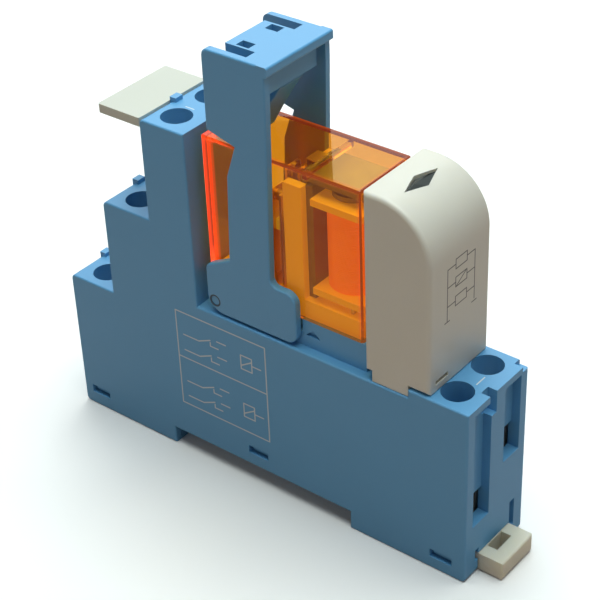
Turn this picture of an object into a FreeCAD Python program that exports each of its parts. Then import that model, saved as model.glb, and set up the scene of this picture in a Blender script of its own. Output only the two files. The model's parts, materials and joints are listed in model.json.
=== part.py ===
"""Plug-in relay on its screw-terminal rail socket, with retaining clip and indicator module.

The work is laid out in socket coordinates: X runs along the socket from the left end, Y from the
front face to the back face, Z up from the feet. Every finished piece is then shifted so that the
origin lies under the middle of the whole assembly.
"""
import FreeCAD, Part
import Sketcher
import os
import re
from collections import namedtuple

DIMENSIONS = {
    # how cutting and joined blocks run past each other
    "over": 1.0,
    "bite": 0.1,
    "insert_gap": 0.02,
    # socket, lengths along the rail crossing
    "socket_wide": 15.8,
    "step_one_len": 9.5,
    "step_two_len": 9.8,
    "block_len": 8.75,
    "block_relay_gap": 1.9,
    "relay_module_gap": 1.3,
    "coil_end_len": 6.9,
    "left_foot_len": 20.8,
    "rail_slot_len": 36.4,
    # socket, heights
    "rail_slot_high": 3.27,
    "step_one_top": 26.0,
    "step_two_top": 43.3,
    "block_top": 60.85,
    "ledge_top": 30.4,
    "seat_top": 35.2,
    "coil_end_top": 31.8,
    # socket, edges and walls
    "step_round": 0.9,
    "foot_round": 0.8,
    "edge_round": 0.3,
    "side_wall": 1.3,
    "seat_end_inset": 0.65,
    "mark_past_pin": 3.8,
    "mark_half": 1.35,
    "mark_up": 2.1,
    "mark_high": 1.3,
    "mark_deep": 0.5,
    "nib_long": 1.6,
    "nib_high": 0.7,
    "nib_deep": 1.2,
    "notch_wide": 1.8,
    "notch_deep": 1.6,
    "notch_high": 3.8,
    "corner_notch": 1.5,
    "end_notch_off": 1.4,
    "corner_notch_high": 0.9,
    "pocket_deep": 1.0,
    "pocket_low": 1.0,
    "back_pocket_wide": 1.3,
    "back_pocket_up": 4.2,
    "front_pocket_up": 1.2,
    "seat_gap": 0.15,
    "rail_lip_long": 1.6,
    "rail_lip_wide": 8.2,
    "rail_lip_top": 2.0,
    # bottom cover
    "cover_top": 8.0,
    "cover_gap": 0.1,
    "cover_wall": 1.4,
    "latch_left_in": 3.85,
    "latch_left_up": 3.2,
    "latch_middle_up": 6.35,
    "latch_right_in": 4.4,
    "latch_right_up": 2.9,
    "latch_long": 4.0,
    "latch_high": 1.5,
    "latch_gap": 0.2,
    "latch_deep": 0.5,
    # screw terminals
    "pole_offset": 3.93,
    "screw_hole_r": 2.5,
    "entry_wide": 4.3,
    "entry_high": 4.6,
    "entry_drop": 12.5,
    "deep_entry_drop": 19.8,
    "step_two_shift": 0.2,
    "block_shift": 0.25,
    "coil_shift": 1.05,
    "channel_deep": 1.4,
    "left_channel_deep": 0.8,
    "channel_rim": 1.2,
    "chamber_half_x": 2.6,
    "chamber_half_y": 2.95,
    "cage_half_x": 2.2,
    "cage_half_y": 2.7,
    "cage_wall": 0.8,
    "cage_low": 3.2,
    "cage_floor": 1.0,
    "cage_roof_low": 3.4,
    "cage_roof": 1.2,
    "cage_gap": 0.3,
    "strip_low": 2.3,
    "strip_thick": 0.8,
    "strip_half": 1.8,
    "strip_gap": 0.15,
    "screw_head_low": 6.75,
    "screw_head_thick": 1.6,
    "screw_head_r": 2.3,
    "shank_r": 1.5,
    "thread_gap": 0.05,
    "tip_gap": 0.1,
    "driver_slot": 0.8,
    "driver_slot_deep": 0.8,
    "cross_half": 1.4,
    # plug pins and the forks that grip them
    "pin_offset": 3.75,
    "pin_thick": 0.5,
    "pin_wide": 1.0,
    "pin_long": 3.5,
    "pin_pitch": 5.0,
    "first_pin_in": 6.05,
    "coil_pin_in": 3.05,
    "fork_gap": 0.1,
    "fork_leaf": 0.5,
    "fork_half": 1.0,
    "fork_deep": 4.6,
    "fork_roof": 0.6,
    "pin_slot_gap": 0.25,
    "middle_level": 20.0,
    "upper_level": 24.0,
    # relay
    "relay_len": 29.1,
    "relay_wide": 12.4,
    "relay_high": 25.6,
    "relay_wall": 0.8,
    "relay_round": 0.5,
    "relay_rim": 0.3,
    "relay_base_high": 3.2,
    "relay_gap": 0.1,
    "roof_rib_off": 0.5,
    "cheek_left_in": 14.75,
    "cheek_long": 3.3,
    "cheek_thick": 1.5,
    "coil_in": 5.5,
    "core_r": 2.0,
    "core_cap_r": 3.2,
    "core_cap_high": 0.8,
    "cap_gap": 0.15,
    "bobbin_wall": 0.7,
    "bobbin_flange": 1.1,
    "winding_r": 4.0,
    "winding_high": 14.0,
    "yoke_thick": 1.2,
    "yoke_air": 0.15,
    "leg_air": 0.2,
    "hinge_down": 0.1,
    "yoke_half": 4.2,
    "yoke_floor_past": 1.0,
    "flange_past_yoke": 0.8,
    "armature_thick": 1.0,
    "armature_half": 3.7,
    "armature_leg": 10.3,
    "armature_past_core": 0.6,
    "spring_back": 1.1,
    "spring_clear": 0.35,
    "spring_past": 0.2,
    "dimple_r": 0.3,
    "dimple_in": 0.4,
    "pole_gap": 0.8,
    "card_high": 1.8,
    "card_half": 1.5,
    "card_bar": 0.8,
    "card_gap": 0.1,
    "card_past_pins": 0.4,
    "cheek_down": 0.3,
    "tie_thick": 1.1,
    "tie_up": 2.4,
    "tie_high": 2.2,
    "blade_thick": 0.2,
    "blade_half": 1.4,
    "blade_to_cheek": 2.8,
    "rest_gap": 0.05,
    "blade_high": 16.6,
    "blade_foot_high": 2.0,
    "blade_foot_gap": 0.3,
    "blade_row_in": 0.5,
    "plate_thick": 0.4,
    "plate_high": 16.0,
    "rivet_r": 0.9,
    "rivet_long": 0.6,
    "contact_gap": 0.95,
    "contact_high": 15.2,
    "card_drop": 8.7,
    # indicator module
    "module_len": 11.35,
    "module_side_gap": 0.3,
    "module_bottom": 32.0,
    "module_top": 62.0,
    "module_wall": 1.0,
    "module_round": 9.0,
    "module_edge_round": 0.7,
    "module_base_thick": 1.2,
    "tongue_in": 1.35,
    "tongue_long": 6.3,
    "tongue_half": 4.9,
    "lever_in": 1.6,
    "lever_wide": 3.1,
    "lever_up": 1.05,
    "lever_high": 0.75,
    "lever_deep": 0.5,
    "module_pin_up": 1.2,
    "module_pin_in": 5.65,
    "lens_in": 4.55,
    "lens_half_x": 1.2,
    "lens_half_y": 3.9,
    "lens_thick": 1.2,
    "lens_gap": 0.05,
    "lens_sunk": 0.1,
    "board_thick": 1.0,
    "board_gap": 0.5,
    "board_long": 7.0,
    "board_high": 23.0,
    "led_r": 1.5,
    "led_high": 2.0,
    "varistor_r": 3.0,
    "varistor_thick": 1.8,
    "varistor_up": 12.0,
    "resistor_r": 1.0,
    "resistor_long": 5.0,
    "resistor_up": 6.0,
    # retaining clip, measured from its pivot
    "arm_thick": 1.2,
    "arm_relay_gap": 0.15,
    "pivot_in": 1.8,
    "pivot_up": 2.5,
    "pivot_r": 0.75,
    "pivot_gap": 0.05,
    "pin_short": 0.1,
    "eye_left": 1.5,
    "foot_right": 15.9,
    "foot_top": 6.85,
    "foot_clear": 0.4,
    "heel_up": 6.1,
    "shoulder_up": 8.5,
    "column_left": 3.4,
    "column_right": 11.2,
    "waist_in": 4.05,
    "waist_up": 23.3,
    "neck_in": 5.85,
    "neck_up": 28.7,
    "head_left": 0.7,
    "head_right": 12.1,
    "head_low": 30.1,
    "taper_up": 38.8,
    "clip_high": 43.1,
    "head_round": 1.2,
    "head_end_round": 0.4,
    "brim_out": 0.55,
    "brim_high": 1.6,
    "brim_round": 0.35,
    "foot_corner": 1.9,
    "eye_round": 3.0,
    "waist_round": 1.3,
    "bridge_thick": 1.4,
    "bridge_in": 2.0,
    "bridge_slot": 1.95,
    "bridge_join": 3.95,
    "clip_hole_in": 3.65,
    "clip_hole_long": 2.3,
    "clip_hole_wide": 1.65,
    "clip_hole_out": 3.2,
    "skirt_in": 0.9,
    "skirt_thick": 1.2,
    "skirt_high": 5.2,
    "skirt_half": 5.4,
    "finger_half": 2.6,
    "finger_root": 0.6,
    "finger_toe": 0.9,
    "finger_toe_lift": 0.7,
    "finger_toe_back": 0.5,
    "finger_lean": 6.6,
    "finger_clear": 0.3,
    "lug_in": 13.2,
    "lug_long": 2.3,
    "lug_wide": 1.4,
    "lug_high": 1.5,
    "lug_gap": 0.1,
    "lug_notch_gap": 0.6,
    "lug_notch_in": 0.4,
    # rail clip
    "clip_bar_wide": 8.4,
    "clip_bar_low": 0.3,
    "clip_bar_top": 3.4,
    "clip_tab_out": 4.3,
    "clip_loop_long": 1.9,
    "clip_loop_wide": 3.9,
    "clip_nose_long": 2.8,
    "clip_rib": 0.8,
    "clip_rib_low": 1.5,
    "clip_rib_high": 0.6,
    "clip_nose_ramp": 0.7,
    "clip_nose_step": 0.45,
    "clip_post_high": 0.35,
    "clip_gap": 0.15,
    "clip_travel": 3.5,
    "clip_post_in": 10.6,
    "clip_post_long": 3.8,
    "clip_post_half": 1.6,
    # marker tag
    "tag_len": 8.4,
    "tag_wide": 15.3,
    "tag_thick": 1.5,
    "tag_tongue_long": 2.2,
    "tag_tongue_half": 1.1,
    "tag_tongue_thick": 0.7,
    "tag_gap": 0.12,
    "tag_seat": 0.01,
}

PLACES = {
    # along the socket
    "block_left": "step_one_len + step_two_len",
    "block_right": "block_left + block_len",
    "relay_left": "block_right + block_relay_gap",
    "relay_right": "relay_left + relay_len",
    "module_left": "relay_right + relay_module_gap",
    "module_right": "module_left + module_len",
    "socket_len": "module_right + coil_end_len",
    "rail_right": "left_foot_len + rail_slot_len",
    "seat_left": "relay_left + seat_end_inset",
    "seat_right": "relay_right + seat_end_inset",
    # across the socket
    "mid_y": "socket_wide / 2",
    "relay_front": "mid_y - relay_wide / 2",
    "relay_back": "mid_y + relay_wide / 2",
    "seat_front": "relay_front",
    "seat_back": "relay_back",
    # terminals
    "step_one_mid": "step_one_len / 2",
    "step_two_mid": "step_one_len + step_two_len / 2 - step_two_shift",
    "block_mid": "block_left + block_len / 2 - block_shift",
    "coil_mid": "socket_len - coil_end_len / 2 - coil_shift",
    "middle_drop_x": "step_two_mid + chamber_half_x + strip_gap + strip_thick",
    "upper_drop_x": "block_mid + chamber_half_x + strip_gap + strip_thick",
    # plug pins
    "open_pin_x": "relay_left + first_pin_in",
    "common_pin_x": "open_pin_x + pin_pitch",
    "closed_pin_x": "common_pin_x + pin_pitch",
    "coil_pin_x": "relay_right - coil_pin_in",
    "module_pin_x": "module_left + module_pin_in",
    "relay_bottom": "seat_top",
    "relay_fork_top": "seat_top - fork_roof",
    "module_fork_top": "ledge_top - fork_roof",
    # relay works
    "relay_top": "relay_bottom + relay_high",
    "base_top": "relay_bottom + relay_base_high",
    "coil_x": "relay_right - coil_in",
    "cheek_left": "relay_left + cheek_left_in",
    "cheek_right": "cheek_left + cheek_long",
    "cheek_in": "relay_front + relay_wall + relay_gap + cheek_thick",
    "cheek_out": "relay_back - relay_wall - relay_gap - cheek_thick",
    "yoke_left": "cheek_right + relay_gap",
    "yoke_right": "yoke_left + yoke_thick",
    "yoke_floor_top": "base_top + relay_gap + yoke_thick",
    "flange_one": "yoke_floor_top + relay_gap",
    "winding_low": "flange_one + bobbin_flange",
    "winding_top": "winding_low + winding_high",
    "flange_two_top": "winding_top + bobbin_flange",
    "core_top": "flange_two_top + cap_gap + core_cap_high",
    "armature_low": "core_top + pole_gap",
    "armature_top": "armature_low + armature_thick",
    "yoke_top": "armature_low - yoke_air",
    "leg_right": "yoke_left - leg_air",
    "leg_left": "leg_right - armature_thick",
    "hinge_z": "armature_low - hinge_down",
    "card_mid_z": "hinge_z - card_drop",
    "blade_x": "cheek_left - blade_to_cheek",
    "blade_right": "blade_x + blade_thick",
    "closed_plate_x": "blade_right + 2 * rivet_long + rest_gap",
    "open_plate_x": "blade_x - 2 * rivet_long - contact_gap - plate_thick",
    "contact_z": "base_top + contact_high",
    # retaining clip
    "clip_front": "relay_front - arm_relay_gap - arm_thick",
    "clip_back": "relay_back + arm_relay_gap + arm_thick",
    "arm_in_front": "relay_front - arm_relay_gap",
    "arm_in_back": "relay_back + arm_relay_gap",
    "pivot_x": "relay_left + pivot_in",
    "pivot_z": "ledge_top + pivot_up",
    "clip_bottom": "ledge_top + foot_clear",
    "clip_top": "pivot_z + clip_high",
    "skirt_right": "pivot_x + head_right - skirt_in",
    "skirt_left": "skirt_right - skirt_thick",
    "skirt_bottom": "clip_top - skirt_high",
    "finger_tip_z": "relay_top + finger_clear",
    "lug_left": "pivot_x + lug_in",
    "lug_top": "relay_bottom - lug_gap",
    # module
    "module_front": "module_side_gap",
    "module_back": "socket_wide - module_side_gap",
    "coil_left": "module_left + tongue_in + tongue_long + seat_gap",
    "lens_x": "module_left + lens_in",
    "board_left": "module_left + module_wall + board_gap",
    "board_low": "module_bottom + module_base_thick",
    "board_top": "board_low + board_high",
    # rail clip and its post in the foot
    "bar_front": "mid_y - clip_bar_wide / 2",
    "bar_back": "mid_y + clip_bar_wide / 2",
    "bar_right": "socket_len + clip_tab_out",
    "bar_left": "rail_right - clip_nose_long",
    "post_left": "socket_len - clip_post_in",
    "post_right": "post_left + clip_post_long",
    # marker tag
    "tag_right": "block_left - tag_gap",
    "tag_left": "tag_right - tag_len",
    "tag_top": "block_top",
    "tag_low": "tag_top - tag_thick",
    # origin of the finished part
    "origin_x": "bar_right / 2",
}

Terminal = namedtuple("Terminal", "name x y face side entry top")
LANES = {"front": ("mid_y - pole_offset", "mid_y - pin_offset"),
         "back": ("mid_y + pole_offset", "mid_y + pin_offset")}
LEVELS = {"low": ("step_one_mid", "0", "step_one_top"),
          "middle": ("step_two_mid", "step_one_len", "step_two_top"),
          "upper": ("block_mid", "block_left", "block_top")}
CONTACT_TERMINALS = {
    (level, lane): Terminal(f"{level}_{lane}", x, LANES[lane][0], face, "left", f"{top} - entry_drop", top)
    for level, (x, face, top) in LEVELS.items() for lane in LANES}
COIL_TERMINALS = {
    lane: Terminal(f"coil_{lane}", "coil_mid", LANES[lane][0], "socket_len", "right",
                   f"coil_end_top - {drop}", "coil_end_top")
    for lane, drop in (("front", "deep_entry_drop"), ("back", "entry_drop"))}
TERMINALS = list(CONTACT_TERMINALS.values()) + list(COIL_TERMINALS.values())
CONTACT_PINS = {"low": "closed_pin_x", "middle": "common_pin_x", "upper": "open_pin_x"}
LATCHES = (("latch_left_in", "latch_left_up"),
           ("left_foot_len + rail_slot_len / 2", "latch_middle_up"),
           ("socket_len - latch_right_in", "latch_right_up"))
TURNS = {
    "x": FreeCAD.Rotation(FreeCAD.Vector(0, 0, 1), FreeCAD.Vector(1, 0, 0)),
    "y": FreeCAD.Rotation(FreeCAD.Vector(0, 0, 1), FreeCAD.Vector(0, 1, 0)),
    "z": FreeCAD.Rotation(),
}

doc = FreeCAD.newDocument("plug_in_relay")
subparts = []


# ---------------------------------------------------------------- sheets and formulas

def bound(formula, inside_places=False):
    """The formula with each named size written as its sheet's cell."""
    def cell(match):
        word = match.group(0)
        if word in DIMENSIONS:
            return "Dimensions." + word
        if word in PLACES and not inside_places:
            return "Places." + word
        return word
    return re.sub(r"\b[a-z][a-z_]*\b", cell, formula)


def make_sheets():
    """One sheet of plain driving sizes and one of the places worked out from them."""
    sizes = doc.addObject("Spreadsheet::Sheet", "Dimensions")
    for row, (alias, value) in enumerate(DIMENSIONS.items(), start=1):
        sizes.set(f"A{row}", alias)
        sizes.set(f"B{row}", str(value))
        sizes.setAlias(f"B{row}", alias)
    places = doc.addObject("Spreadsheet::Sheet", "Places")
    for row, alias in enumerate(PLACES, start=1):
        places.set(f"A{row}", alias)
        places.setAlias(f"B{row}", alias)
    for row, formula in enumerate(PLACES.values(), start=1):
        places.set(f"B{row}", "=" + bound(formula, inside_places=True))
    doc.recompute()


# ---------------------------------------------------------------- building blocks

def around(centre, half):
    """Span of a given half width about a centre."""
    return (f"{centre} - {half}", f"{centre} + {half}")


def grown(span, gap):
    """Span widened by a clearance at both ends."""
    low, high = span
    return (f"{low} - {gap}", f"{high} + {gap}")


def box(name, x, y, z):
    """Block between two corners; x, y and z are (low, high) formulas."""
    block = doc.addObject("Part::Box", name)
    for side, place, (low, high) in zip(("Length", "Width", "Height"), "xyz", (x, y, z)):
        block.setExpression(side, bound(f"({high}) - ({low})"))
        block.setExpression("Placement.Base." + place, bound(low))
    return block


def rod(name, axis, centre, radius, span):
    """Round bar along one axis; centre holds the other two coordinates in X, Y, Z order."""
    bar = doc.addObject("Part::Cylinder", name)
    bar.Placement.Rotation = TURNS[axis]
    bar.setExpression("Radius", bound(radius))
    bar.setExpression("Height", bound(f"({span[1]}) - ({span[0]})"))
    others = [letter for letter in "xyz" if letter != axis]
    for letter, formula in zip(others, centre):
        bar.setExpression("Placement.Base." + letter, bound(formula))
    bar.setExpression("Placement.Base." + axis, bound(span[0]))
    return bar


def fuse(name, pieces):
    """One solid from several that touch or overlap."""
    joined = doc.addObject("Part::MultiFuse", name)
    joined.Shapes = pieces
    joined.Refine = True
    return joined


def group(name, pieces):
    """Several separate solids kept together."""
    together = doc.addObject("Part::Compound", name)
    together.Links = pieces
    return together


def cut(name, base, tools):
    """Base with every tool taken out of it."""
    result = doc.addObject("Part::Cut", name)
    result.Base = base
    result.Tool = tools[0] if len(tools) == 1 else fuse(name + "_tools", tools)
    result.Refine = True
    return result


def origin_plane(body, role):
    """One of the body's own origin planes."""
    return next(item for item in body.Origin.OriginFeatures if item.Role == role)


def value(formula):
    """A formula's present size in millimetres."""
    return float(doc.getObject("Places").evalExpression(bound(formula)))


def outline(body, name, role, corners, offset):
    """Closed sketch on an origin plane whose corners are pairs of formulas."""
    sketch = body.newObject("Sketcher::SketchObject", name)
    sketch.AttachmentSupport = [(origin_plane(body, role), "")]
    sketch.MapMode = "FlatFace"
    sketch.setExpression("AttachmentOffset.Base.z", bound(offset))
    points = [FreeCAD.Vector(value(across), value(up), 0) for across, up in corners]
    last = len(points) - 1
    for index, point in enumerate(points):
        sketch.addGeometry(Part.LineSegment(point, points[0 if index == last else index + 1]), False)
    for index, corner in enumerate(corners):
        before = last if index == 0 else index - 1
        sketch.addConstraint(Sketcher.Constraint("Coincident", before, 2, index, 1))
        for kind, formula in zip(("DistanceX", "DistanceY"), corner):
            number = sketch.addConstraint(Sketcher.Constraint(kind, -1, 1, index, 1, value(formula)))
            sketch.setExpression(f"Constraints[{number}]", bound(formula))
    return sketch


def padded(name, role, corners, span):
    """Body padded from an outline between two heights along +X, +Y or +Z, and its pad."""
    backwards = role == "XZ_Plane"
    body = doc.addObject("PartDesign::Body", name)
    sketch = outline(body, name + "_outline", role, corners, f"-({span[0]})" if backwards else span[0])
    pad = body.newObject("PartDesign::Pad", name + "_pad")
    pad.Profile = sketch
    pad.Reversed = backwards
    pad.setExpression("Length", bound(f"({span[1]}) - ({span[0]})"))
    doc.recompute()
    return body


def corner_edges(shape, axis, corners):
    """Names of the edges that run along one axis through the given corners."""
    others = [number for number in range(3) if "xyz"[number] != axis]
    wanted = [[value(formula) for formula in corner] for corner in corners]
    names = []
    for number, edge in enumerate(shape.Edges, start=1):
        first, last = edge.Vertexes[0].Point, edge.Vertexes[-1].Point
        for corner in wanted:
            if all(abs(end[others[k]] - corner[k]) < 1e-4 for end in (first, last) for k in (0, 1)):
                names.append(f"Edge{number}")
    return names


def rim_edges(shape, axis, levels):
    """Names of the edges that lie wholly in planes across one axis."""
    heights = [value(level) for level in levels]
    names = []
    for number, edge in enumerate(shape.Edges, start=1):
        box_of_edge = edge.BoundBox
        low = getattr(box_of_edge, axis.upper() + "Min")
        high = getattr(box_of_edge, axis.upper() + "Max")
        if any(abs(low - height) < 1e-3 and abs(high - height) < 1e-3 for height in heights):
            names.append(f"Edge{number}")
    return names


def fillet(body, name, edges, radius):
    """Round the named edges of the body's last feature."""
    base = body.Tip
    feature = body.newObject("PartDesign::Fillet", name)
    feature.Base = (base, edges)
    feature.setExpression("Radius", bound(radius))
    body.Tip = feature
    doc.recompute()
    return feature


def round_corners(body, axis, corners, radius):
    """Round the body's edges along one axis through the given corners."""
    edges = corner_edges(body.Tip.Shape, axis, corners)
    return fillet(body, f"{body.Name}_round_{len(body.Group)}", edges, radius)


def round_rims(body, axis, levels, radius):
    """Round every edge of the body that lies in the given planes."""
    edges = rim_edges(body.Tip.Shape, axis, levels)
    return fillet(body, f"{body.Name}_rim_{len(body.Group)}", edges, radius)


def finish(piece, label):
    """Name a finished sub-part and shift it to the assembly's origin."""
    piece.Label = label
    piece.setExpression("Placement.Base.x", bound("-origin_x"))
    piece.setExpression("Placement.Base.y", bound("-mid_y"))
    subparts.append(piece)


# ---------------------------------------------------------------- contact strips of the socket

def fork_spans(pin_x, lane, top, level):
    """Riser, bridge and far leaf of a fork that grips a plug pin from both sides."""
    y = around(LANES[lane][1], "fork_half")
    near = f"{pin_x} + pin_thick / 2 + fork_gap"
    far = f"{pin_x} - pin_thick / 2 - fork_gap - fork_leaf"
    foot = f"{top} - fork_deep"
    return [((near, f"{near} + fork_leaf"), y, (level, top)),
            ((far, f"{near} + fork_leaf"), y, (foot, f"{foot} + fork_leaf")),
            ((far, f"{far} + fork_leaf"), y, (foot, top))]


def contact_strip_spans(level, lane):
    """Strip from a clamp cage, down its drop if it has one, and along to a relay fork."""
    terminal = CONTACT_TERMINALS[level, lane]
    y = around(terminal.y, "strip_half")
    pin_x = CONTACT_PINS[level]
    left = f"{terminal.x} - cage_half_x"
    right = f"{pin_x} + pin_thick / 2 + fork_gap + fork_leaf"
    low = f"{terminal.entry} + strip_low"
    top = f"{low} + strip_thick"
    if level == "low":
        return [((left, right), y, (low, top))] + fork_spans(pin_x, lane, "relay_fork_top", low)
    drop, run = {"middle": ("middle_drop_x", "middle_level"), "upper": ("upper_drop_x", "upper_level")}[level]
    return [((left, drop), y, (low, top)),
            ((f"{drop} - strip_thick", drop), y, (run, top)),
            ((f"{drop} - strip_thick", right), y, (run, f"{run} + strip_thick"))] \
        + fork_spans(pin_x, lane, "relay_fork_top", run)


def coil_strip_spans(lane):
    """Strip from a coil clamp cage to the forks of the module and of the relay's coil pin."""
    terminal = COIL_TERMINALS[lane]
    low = f"{terminal.entry} + strip_low"
    run = (("coil_pin_x + pin_thick / 2 + fork_gap", f"{terminal.x} + cage_half_x"),
           around(terminal.y, "strip_half"), (low, f"{low} + strip_thick"))
    return [run] + fork_spans("coil_pin_x", lane, "relay_fork_top", low) \
        + fork_spans("module_pin_x", lane, "module_fork_top", low)


def all_strips():
    """Every strip of the socket as (name, spans)."""
    strips = [(f"strip_{level}_{lane}", contact_strip_spans(level, lane))
              for level in LEVELS for lane in LANES]
    return strips + [(f"strip_coil_{lane}", coil_strip_spans(lane)) for lane in LANES]


def make_strips():
    for name, spans in all_strips():
        finish(fuse(name, [box(name + "_leg", *span) for span in spans]), name)


# ---------------------------------------------------------------- socket housing and bottom cover

def housing_blank():
    """Stepped outline of the socket, padded over its width, with rounded steps and edges."""
    corners = [("0", "0"), ("left_foot_len", "0"), ("left_foot_len", "rail_slot_high"),
               ("rail_right", "rail_slot_high"), ("rail_right", "0"), ("socket_len", "0"),
               ("socket_len", "coil_end_top"), ("coil_left", "coil_end_top"), ("coil_left", "ledge_top"),
               ("block_right", "ledge_top"), ("block_right", "block_top"), ("block_left", "block_top"),
               ("block_left", "step_two_top"), ("step_one_len", "step_two_top"),
               ("step_one_len", "step_one_top"), ("0", "step_one_top")]
    body = padded("housing_blank", "XZ_Plane", corners, ("0", "socket_wide"))
    round_corners(body, "y", [corners[11], corners[13], corners[15]], "step_round")
    round_corners(body, "y", [corners[0], corners[5]], "foot_round")
    round_rims(body, "y", ["0", "socket_wide"], "edge_round")
    return body


def terminal_openings(terminal):
    """Clamp chamber, screw shaft, wire entry and wire channel of one terminal."""
    name = "room_" + terminal.name
    entry, top, face = terminal.entry, terminal.top, terminal.face
    if terminal.side == "left":
        outside = (f"{face} - over", f"{terminal.x} - chamber_half_x + bite")
        channel = (f"{face} - over", f"{face} + left_channel_deep")
    else:
        outside = (f"{terminal.x} + chamber_half_x - bite", f"{face} + over")
        channel = (f"{face} - channel_deep", f"{face} + over")
    roof = f"{entry} + screw_head_low + screw_head_thick + cage_gap"
    y = around(terminal.y, "entry_wide / 2")
    chamber = box(name, around(terminal.x, "chamber_half_x"), around(terminal.y, "chamber_half_y"),
                  (f"{entry} - cage_low - cage_gap", roof))
    shaft = rod(name + "_shaft", "z", (terminal.x, terminal.y), "screw_hole_r",
                (f"{roof} - bite", f"{top} + over"))
    mouth = box(name + "_entry", outside, y, around(entry, "entry_high / 2"))
    groove = box(name + "_channel", channel, y, (f"{entry} - entry_high / 2", f"{top} - channel_rim"))
    return [chamber, shaft, mouth, groove]


def fork_rooms():
    """Wells round the forks and the slots that the plug pins drop through."""
    forks = [(pin, "relay_fork_top") for pin in list(CONTACT_PINS.values()) + ["coil_pin_x"]]
    forks.append(("module_pin_x", "module_fork_top"))
    half = "(pin_thick / 2 + fork_gap + fork_leaf + strip_gap)"
    rooms = []
    for lane, (_, row) in LANES.items():
        for pin_x, top in forks:
            well_z = (f"{top} - fork_deep - strip_gap", f"{top} + strip_gap")
            slot_z = (f"{top} - bite", f"{top} + fork_roof + bite")
            well_y = around(row, "(fork_half + strip_gap)")
            slot_y = around(row, "(pin_wide / 2 + pin_slot_gap)")
            rooms.append(box("fork_well", around(pin_x, half), well_y, well_z))
            rooms.append(box("pin_slot", around(pin_x, "(pin_thick / 2 + pin_slot_gap)"), slot_y, slot_z))
    return rooms


def strip_rooms():
    """Slots that the contact strips lie in."""
    return [box("slot_" + name, *[grown(side, "strip_gap") for side in span])
            for name, spans in all_strips() for span in spans]


def latch_spans(y):
    """One latch window or lug at each latch place, over the given depth."""
    return [(around(x, "latch_long / 2"), y, around(z, "latch_high / 2")) for x, z in LATCHES]


def lug_notches():
    """Notches in the relay seat that the clip's lifting lugs lie in."""
    x = ("lug_left - lug_notch_gap", "lug_left + lug_long + lug_notch_gap")
    z = ("lug_top - lug_high - lug_notch_gap", "seat_top + over")
    deep = "lug_wide + lug_notch_in"
    return [box("lug_notch", x, ("seat_front - over", f"arm_in_front + {deep}"), z),
            box("lug_notch", x, (f"arm_in_back - ({deep})", "seat_back + over"), z)]


def end_reliefs():
    """Notches and shallow pockets in the end face beside the coil terminals and the rail clip."""
    notch_x = ("socket_len - notch_deep", "socket_len + over")
    corner_x = ("socket_len - corner_notch", "socket_len + over")
    pocket_x = ("socket_len - pocket_deep", "socket_len + over")
    above = "coil_end_top + over"
    low = "clip_bar_top - pocket_low"
    return [
        box("end_notch", notch_x, around("mid_y - end_notch_off", "notch_wide / 2"),
            ("coil_end_top - notch_high", above)),
        box("corner_notch", corner_x, ("socket_wide - corner_notch", "socket_wide + over"),
            ("coil_end_top - corner_notch_high", above)),
        box("back_pocket", pocket_x, ("bar_back", "bar_back + back_pocket_wide"),
            (low, "clip_bar_top + back_pocket_up")),
        box("front_pocket", pocket_x, ("bar_front - over", "bar_front"),
            (low, "clip_bar_top + front_pocket_up")),
    ]


def seat_marks():
    """Small peaked recesses in the front and back of the relay seat."""
    middle, low = "closed_pin_x + mark_past_pin", "ledge_top + mark_up"
    corners = [(f"{middle} - mark_half", low), (f"{middle} + mark_half", low), (middle, f"{low} + mark_high")]
    rows = (("seat_front - over", "seat_front + mark_deep"), ("seat_back - mark_deep", "seat_back + over"))
    return [padded("seat_mark", "XZ_Plane", corners, row) for row in rows]


def make_housing():
    """Moulded socket: blank and relay seat, with every room, slot and window taken out."""
    seat = box("relay_seat", ("seat_left", "seat_right"), ("seat_front", "seat_back"),
               ("ledge_top - over", "seat_top"))
    pin_ends = (("clip_front + pin_short", "seat_front + over"),
                ("seat_back - over", "clip_back - pin_short"))
    pins = [rod("pivot_pin", "y", ("pivot_x", "pivot_z"), "pivot_r", span) for span in pin_ends]
    nibs = [box("edge_nib", (face, f"{face} + nib_deep"), around("mid_y", "nib_long / 2"),
                (f"{top} - over", f"{top} + nib_high")) for _, face, top in LEVELS.values()]
    solid = fuse("housing_solid", [housing_blank(), seat] + pins + nibs)
    wall_y = ("side_wall", "socket_wide - side_wall")
    tools = [box("cover_room", ("side_wall", "socket_len - side_wall"), wall_y, ("-over", "cover_top"))]
    for terminal in TERMINALS:
        tools += terminal_openings(terminal)
    tools += fork_rooms() + strip_rooms() + lug_notches() + end_reliefs() + seat_marks()
    window_rows = (("-over", "side_wall + latch_deep"),
                   ("socket_wide - side_wall - latch_deep", "socket_wide + over"))
    tools += [box("latch_window", *span) for row in window_rows for span in latch_spans(row)]
    tools.append(box("clip_doorway", ("socket_len - side_wall - bite", "socket_len + over"),
                     grown(("bar_front", "bar_back"), "clip_gap"), ("-over", "clip_bar_top + clip_gap")))
    tools.append(box("tag_slot", ("block_left - over", "tag_right + tag_tongue_long + tag_gap * 2"),
                     around("mid_y", "(tag_tongue_half + tag_gap)"),
                     ("tag_low - tag_seat", "tag_low + tag_tongue_thick + tag_gap")))
    finish(cut("socket_housing", solid, tools), "socket_housing")


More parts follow.
